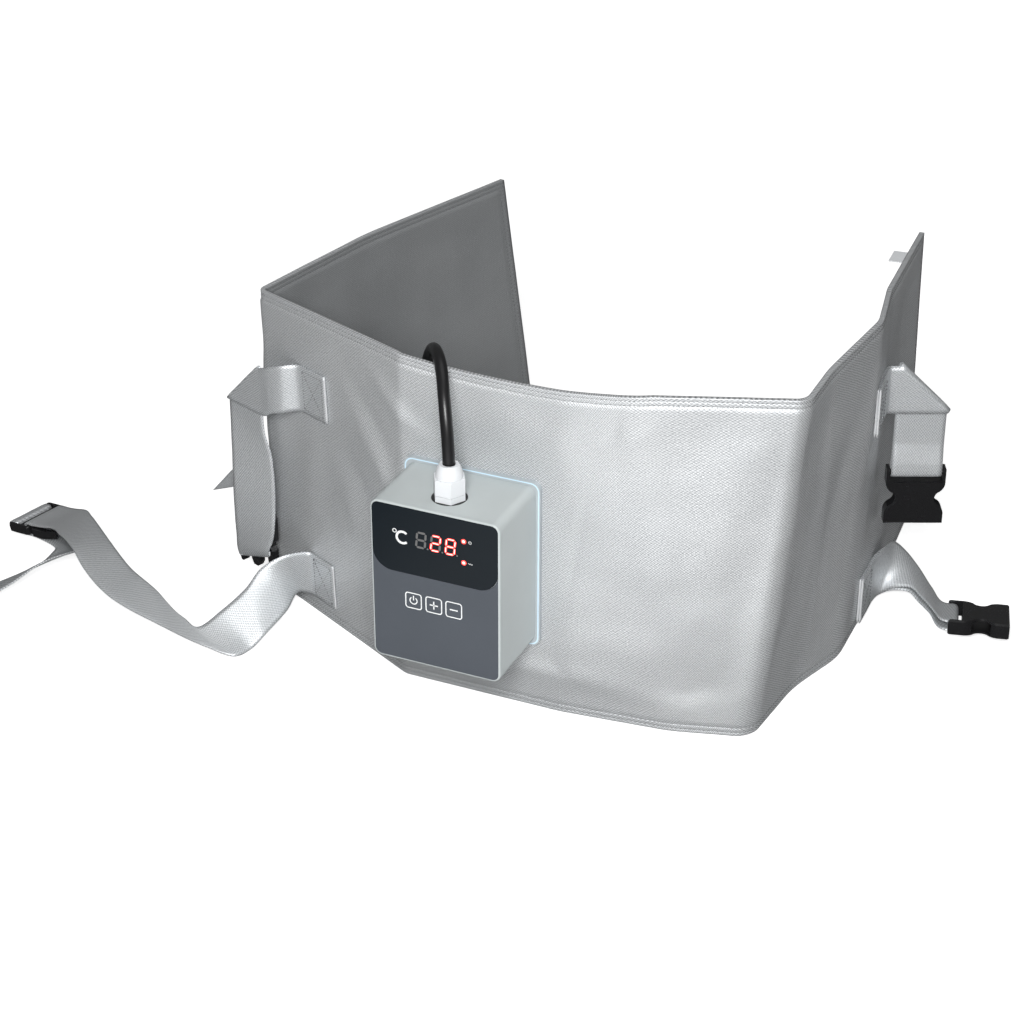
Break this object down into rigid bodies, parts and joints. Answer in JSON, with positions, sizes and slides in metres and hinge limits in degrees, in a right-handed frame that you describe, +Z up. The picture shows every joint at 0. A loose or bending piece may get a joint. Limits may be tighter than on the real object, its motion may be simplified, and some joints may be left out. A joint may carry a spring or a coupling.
{
  "type": "container heating belt",
  "caption": "Wide silver heating belt for wrapping a container, with a control box, mains lead and webbing straps that close with side-release buckles.",
  "frame": {"origin": "middle of the underside of the belt, buckles and straps, cord apart", "axes": "+X from the left strap towards the right strap, +Y from the control box into the belt, +Z up"},
  "size_m": [0.721, 0.4142, 0.2559],
  "materials": {
    "tag_white": "small woven tag",
    "cord_black": "black flexible cord, satin",
    "screw_metal": "cross-head screws",
    "digit_plastic": "seven-segment display block",
    "board": "green circuit board",
    "window_black": "smoked black display window, glossy",
    "buckle_black": "black acetal, glossy",
    "case_plastic": "light grey moulded ABS, fine texture",
    "gland_nylon": "white nylon cable gland, smooth",
    "seal_rubber": "black rubber, matt",
    "lead_silicone": "silicone lead, matt",
    "heater_silicone": "silicone heating mat, matt",
    "lamp_red": "red indicator lamps",
    "coated_cloth_inside": "silver-grey coated glass-fibre twill, satin",
    "felt": "needled insulation felt, matt",
    "label_slate": "slate grey printed keypad label, satin",
    "plate_metal": "sheet with a blue protective film edge",
    "coated_cloth": "silver-grey coated glass-fibre twill, satin",
    "plug_black": "black moulded plug",
    "pin_brass": "plated brass pins",
    "module_black": "encapsulated power supply",
    "relay_blue": "relay housing",
    "webbing_silver": "silver-grey coated glass-fibre strap, satin",
    "sensor_metal": "thin metal disc",
    "terminal_green": "screw terminal block",
    "spring_metal": "touch spring contacts"
  },
  "bodies": {
    "belt": {"care_tag": "tag_white", "cord_coil": "cord_black", "cover_screws": "screw_metal", "digit_module": "digit_plastic", "display_board": "board", "display_window": "window_black", "front_cover": "case_plastic", "gland_body": "gland_nylon", "gland_dome_nut": "gland_nylon", "gland_locknut": "gland_nylon", "gland_seal": "seal_rubber", "gland_washer": "seal_rubber", "heater_lead": "lead_silicone", "heater_mat": "heater_silicone", "indicator_lamps": "lamp_red", "inner_cloth": "coated_cloth_inside", "insulation_felt": "felt", "key_label": "label_slate", "lead_grommet": "seal_rubber", "male_buckle_lower": "buckle_black", "male_buckle_upper": "buckle_black", "mounting_plate": "plate_metal", "outer_cloth": "coated_cloth", "plug_body": "plug_black", "plug_pins": "pin_brass", "power_board": "board", "power_cord": "cord_black", "power_module": "module_black", "rear_shell": "case_plastic", "relay": "relay_blue", "strap_lower_left": "webbing_silver", "strap_lower_right": "webbing_silver", "strap_upper_left": "webbing_silver", "strap_upper_right": "webbing_silver", "temperature_sensor": "sensor_metal", "terminal_block": "terminal_green", "touch_springs": "spring_metal"},
    "upper_receiver": {"female_buckle_upper": "buckle_black"},
    "lower_receiver": {"female_buckle_lower": "buckle_black"}
  },
  "joints": [
    {"name": "upper_receiver_swing", "type": "hinge", "parent": "belt", "child": "upper_receiver", "pos_m": [0.27766, 0.09223, 0.1065], "axis": [-0.9121, -0.4099, 0], "range_deg": [0, 50]},
    {"name": "lower_receiver_lift", "type": "hinge", "parent": "belt", "child": "lower_receiver", "pos_m": [0.31805, 0.0725, 0.0095], "axis": [0.2382, -0.9556, 0.1736], "range_deg": [0, 60]}
  ]
}
